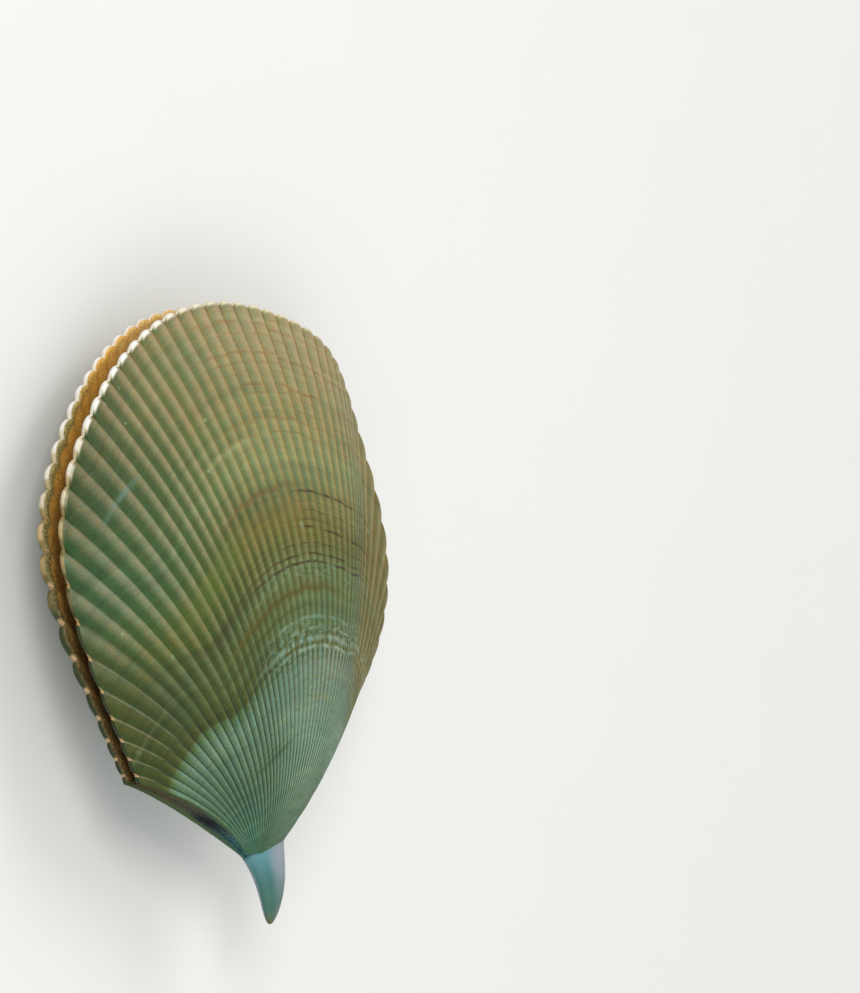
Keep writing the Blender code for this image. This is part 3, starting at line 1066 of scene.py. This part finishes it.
@dataclass
class Stalk:
    """The smooth tapering stalk, its shoulder under the rims and its neck in the throat."""

    rule: GrowthRule
    name: str = "shell_stalk"
    node: str = "stalk"
    slot: str = "stalk_skin"
    length: float = 11.98 * MM
    root: float = 5.0 * MM
    half_width: float = 4.4 * MM
    half_height: float = 2.75 * MM
    neck: tuple[float, float] = (3.1 * MM, 1.6 * MM)
    cuff: tuple[float, float, float] = (1.7 * MM, 4.0 * MM, 2.45 * MM)
    root_size: tuple[float, float] = (2.4 * MM, 1.3 * MM)
    taper: tuple[float, float] = (0.8, 0.5)
    bow: float = 1.0 * MM
    shoulder_gap: float = 0.3 * MM
    sides: int = 72
    rings: int = 64
    fold: float = math.radians(50.0)

    def ring_list(self) -> list[tuple[float, ...]]:
        """Centre, place, half width, half height, arch and slant of each ring, root to tip."""
        rule, rim = self.rule, self.rim
        shift, arch, slant = rule.throat_shift, rule.throat_arch, rule.throat_slant
        rings = [
            (shift, rim + self.root, *self.root_size, 0.0, 0.0),
            (shift, rim + self.root * 0.45, *self.neck, arch, slant),
            (shift, rim + self.cuff[0], *self.neck, arch, slant),
            (shift, rim + self.cuff[0], *self.cuff[1:], arch, slant),
        ]
        for step in range(self.rings):
            share = math.sin(step / self.rings * math.pi / 2.0)
            size = (1.0 - share ** self.taper[0]) ** self.taper[1]
            fade = (1.0 - share) ** 3
            rings.append((shift + self.bow * math.sin(math.pi * share),
                          rim - share * self.length, self.half_width * size,
                          self.half_height * size, arch * fade, slant * fade))
        return rings

    @property
    def rim(self) -> float:
        """Place of the stalk's shoulder, just under the throat."""
        return -self.rule.throat_depth - self.shoulder_gap

    def build(self) -> bpy.types.Object:
        """Loft the bare stalk through its rings, in the shell's own frame."""
        bm = bmesh.new()
        loops = []
        for centre, place, half_width, half_height, arch, slant in self.ring_list():
            loop = []
            for side in range(self.sides):
                angle = math.tau * side / self.sides
                lift = arch * abs(math.sin(angle)) + slant * math.cos(angle)
                loop.append(bm.verts.new((centre + half_width * math.cos(angle),
                                          place + lift, half_height * math.sin(angle))))
            loops.append(loop)
        for first, second in zip(loops, loops[1:]):
            for side in range(self.sides):
                after = (side + 1) % self.sides
                bm.faces.new((first[side], first[after], second[after], second[side]))
        bm.faces.new(loops[0])
        bm.faces.new(loops[-1])
        bmesh.ops.recalc_face_normals(bm, faces=bm.faces)
        mesh = to_mesh(bm, self.name)
        mesh.shade_smooth()
        mesh.set_sharp_from_angle(angle=self.fold)
        return add_object(self.name, mesh)


# --- Placing, stage, lamps and camera ---


@dataclass
class RestingPose:
    """The pose in which the shell lies, and the shift that puts it where the frame says."""

    pitch: float = math.radians(-6.5)
    roll: float = math.radians(-2.0)
    shift: Vector = field(default_factory=Vector)

    def turn(self) -> Matrix:
        """Rotation from the shell's own frame to the resting one."""
        return Matrix.Rotation(self.pitch, 4, "X") @ Matrix.Rotation(self.roll, 4, "Y")

    def place(self) -> Matrix:
        """Full placing of the shell in the frame."""
        return Matrix.Translation(self.shift) @ self.turn()

    def reach(self, piece: bpy.types.Object) -> tuple[Vector, Vector]:
        """Lowest and highest corner of a piece once it is turned."""
        turned = np.array([(self.turn() @ v.co)[:] for v in piece.data.vertices])
        return Vector(turned.min(axis=0)), Vector(turned.max(axis=0))

    def find_shift(self, upper: bpy.types.Object, stalk: bpy.types.Object) -> None:
        """Set the shift so that the stalk and the top of the shell are where the frame says.

        Args:
            upper: The upper valve, whose highest point gives the height.
            stalk: The stalk, whose middle gives the place on the floor.
        """
        low, high = self.reach(stalk)
        node_low, node_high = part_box("stalk")
        self.shift = (node_low + node_high - low - high) / 2.0
        self.shift.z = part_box("upper_valve")[1].z - self.reach(upper)[1].z

    def settle(self, piece: bpy.types.Object) -> None:
        """Put a piece where the frame says, and wear flat what would reach under the floor."""
        piece.data.transform(self.place())
        points = np.empty(len(piece.data.vertices) * 3, np.float32)
        piece.data.vertices.foreach_get("co", points)
        points[2::3] = np.maximum(points[2::3], 0.0)
        piece.data.vertices.foreach_set("co", points)
        piece.data.update()


@dataclass(frozen=True)
class Lamp:
    """A soft square lamp that looks at the shell."""

    name: str
    way: tuple[float, float, float]
    power: float
    size: float
    color: tuple[float, float, float] = (1.0, 0.97, 0.92)

    def hang(self, target: Vector, distance: float) -> None:
        """Hang the lamp on its way out from the target, looking back at it."""
        light = bpy.data.lights.new(self.name, "AREA")
        light.energy, light.size, light.color = self.power, self.size, self.color
        lamp, way = add_object(self.name, light), Vector(self.way)
        lamp.location = target + way.normalized() * distance
        lamp.rotation_euler = way.to_track_quat("Z", "Y").to_euler()


LAMPS = (
    Lamp("key_lamp", (-0.62, 0.50, 0.75), 9.8, 0.55),
    Lamp("side_lamp", (0.20, 0.65, 0.80), 4.6, 0.70),
    Lamp("fill_lamp", (-0.50, -0.65, 0.70), 4.5, 1.0, (1.0, 1.0, 1.0)),
)


@dataclass
class Studio:
    """A pale floor, soft lamps and a plain sky."""

    floor_color: int = 0xF4F4F3
    floor_bounce: float = 0.4
    floor_radius: float = 6.0
    floor_drop: float = 0.2 * MM
    paper_grain: float = 20.0 * MM
    horizon: int = 0xEEF1EF
    sky_strength: float = 0.62
    lamp_distance: float = 1.6
    lamp_height: float = 15.0 * MM

    def floor(self) -> None:
        """A wide round floor: pale to the camera, even far out, with a softer bounce."""
        bm = bmesh.new()
        bmesh.ops.create_circle(bm, cap_ends=True, segments=96, radius=self.floor_radius)
        floor = add_object("floor", to_mesh(bm, "floor"))
        floor.location.z = -self.floor_drop
        coat = Coat("pale_floor")
        net = coat.net
        rays = net.node("ShaderNodeLightPath").outputs
        seen = Wire(net, rays["Is Camera Ray"]).math("MAXIMUM", rays["Is Glossy Ray"])
        bounce = tuple(part * self.floor_bounce for part in linear(self.floor_color)[:3])
        paper = net.grain(self.paper_grain, 3.0, 0.5).fit(0.3, 0.7, 0.0, 0.05)
        pale = net.blend(paper, self.floor_color, 0xE8E7E4)
        for name, value in (("Base Color", net.blend(seen, (*bounce, 1.0), pale)),
                            ("Roughness", 0.9), ("Specular IOR Level", 0.1)):
            net.feed(coat.shader.inputs[name], value)
        x, y, _ = net.place().split()
        far = ((x ** 2.0 + y ** 2.0) ** 0.5).fit(0.13, 0.55) * seen
        even = net.node("ShaderNodeEmission", {"Color": self.horizon})
        ground = net.node("ShaderNodeMixShader", {0: far, 1: coat.shader.outputs[0],
                                                  2: even.outputs[0]})
        net.feed(net.tree.nodes["Material Output"].inputs["Surface"], ground.outputs[0])
        floor.data.materials.append(coat.material)

    def sky(self) -> None:
        """A plain world: pale to the camera, even and soft on the shell."""
        world = bpy.data.worlds.new("soft_sky")
        world.use_nodes = True
        net = Net(world.node_tree)
        backdrop = net.tree.nodes["Background"]
        seen = Wire(net, net.node("ShaderNodeLightPath").outputs["Is Camera Ray"])
        net.feed(backdrop.inputs["Color"], net.blend(seen, self.horizon, 0xF3F3F3))
        net.feed(backdrop.inputs["Strength"], seen.math("MAXIMUM", self.sky_strength))
        bpy.context.scene.world = world

    def build(self) -> None:
        """Set up the floor, the sky and the lamps."""
        self.floor()
        self.sky()
        for lamp in LAMPS:
            lamp.hang(Vector((0.0, 0.0, self.lamp_height)), self.lamp_distance)


@dataclass
class Portrait:
    """The camera: it looks down on the shell from its left, turned so that the crown is up."""

    # A helper program fitted the turns, the place and the lens to the photograph
    turn_z: float = math.radians(5.495)
    turn_x: float = math.radians(-2.364)
    turn_y: float = math.radians(51.874)
    aside: float = -29.76 * MM
    below: float = -50.80 * MM
    distance: float = 425.0 * MM
    focal: float = 106.34
    sensor: float = 36.0
    nearest: float = 10.0 * MM

    def build(self, placing: Matrix) -> None:
        """Place the camera.

        Args:
            placing: Placing of the shell in the frame.
        """
        view = (Matrix.Rotation(self.turn_z, 4, "Z") @ Matrix.Rotation(self.turn_x, 4, "X")
                @ Matrix.Rotation(self.turn_y, 4, "Y"))
        back = view.inverted()
        place = back @ Vector((-self.aside, -self.below, self.distance))
        data = bpy.data.cameras.new("portrait")
        data.sensor_fit = "HORIZONTAL"
        data.sensor_width, data.lens, data.clip_start = self.sensor, self.focal, self.nearest
        camera = add_object("portrait", data)
        camera.matrix_world = placing @ Matrix.Translation(place) @ back
        bpy.context.scene.camera = camera


def attach(piece: bpy.types.Object, node: str, slot: str) -> None:
    """Hand a finished piece to the frame: it rides on the root and stands for a CAD node."""
    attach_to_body(piece, "root")
    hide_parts(node)
    mesh = piece.data
    mesh.calc_loop_triangles()
    log.info("%s: %d triangles", piece.name, len(mesh.loop_triangles))


def main() -> None:
    """Build the valves, the stalk, the studio and the camera."""
    logging.basicConfig(level=logging.INFO, format="%(message)s")
    bpy.context.scene.view_settings.view_transform = "Standard"
    rule = GrowthRule()
    lining = AmberLining("amber_lining").build()
    under_lining = AmberLining("under_lining").build(lip_end=0.62)
    ledge = LedgeGrain("hinge_ledge").build()
    under_ledge = LedgeGrain("under_ledge").build(edge=0.6)
    upper = Valve("upper_shell", "upper_valve", "upper_valve_shell", Side.UPPER, rule,
                  (ShellSkin("upper_skin").build(), lining, ledge), rim_trim=0.05)
    lower = Valve("lower_shell", "lower_valve", "lower_valve_shell", Side.LOWER, rule,
                  (ShellSkin("lower_skin").build(), under_lining, under_ledge), seed=7.0)
    stalk = Stalk(rule)
    upper_piece, lower_piece, stalk_piece = upper.build(), lower.build(), stalk.build()
    pose = RestingPose()
    pose.find_shift(upper_piece, stalk_piece)
    top = pose.place() @ Vector((rule.throat_shift, stalk.rim, 0.0))
    stalk_piece.data.materials.append(StalkColorAndPaintedSheen("stalk_color_and_painted_sheen").build(stalk, top))
    for maker, piece in ((upper, upper_piece), (lower, lower_piece), (stalk, stalk_piece)):
        pose.settle(piece)
        attach(piece, maker.node, maker.slot)
    Studio().build()
    Portrait().build(pose.place())


if __name__ == "__main__":
    main()
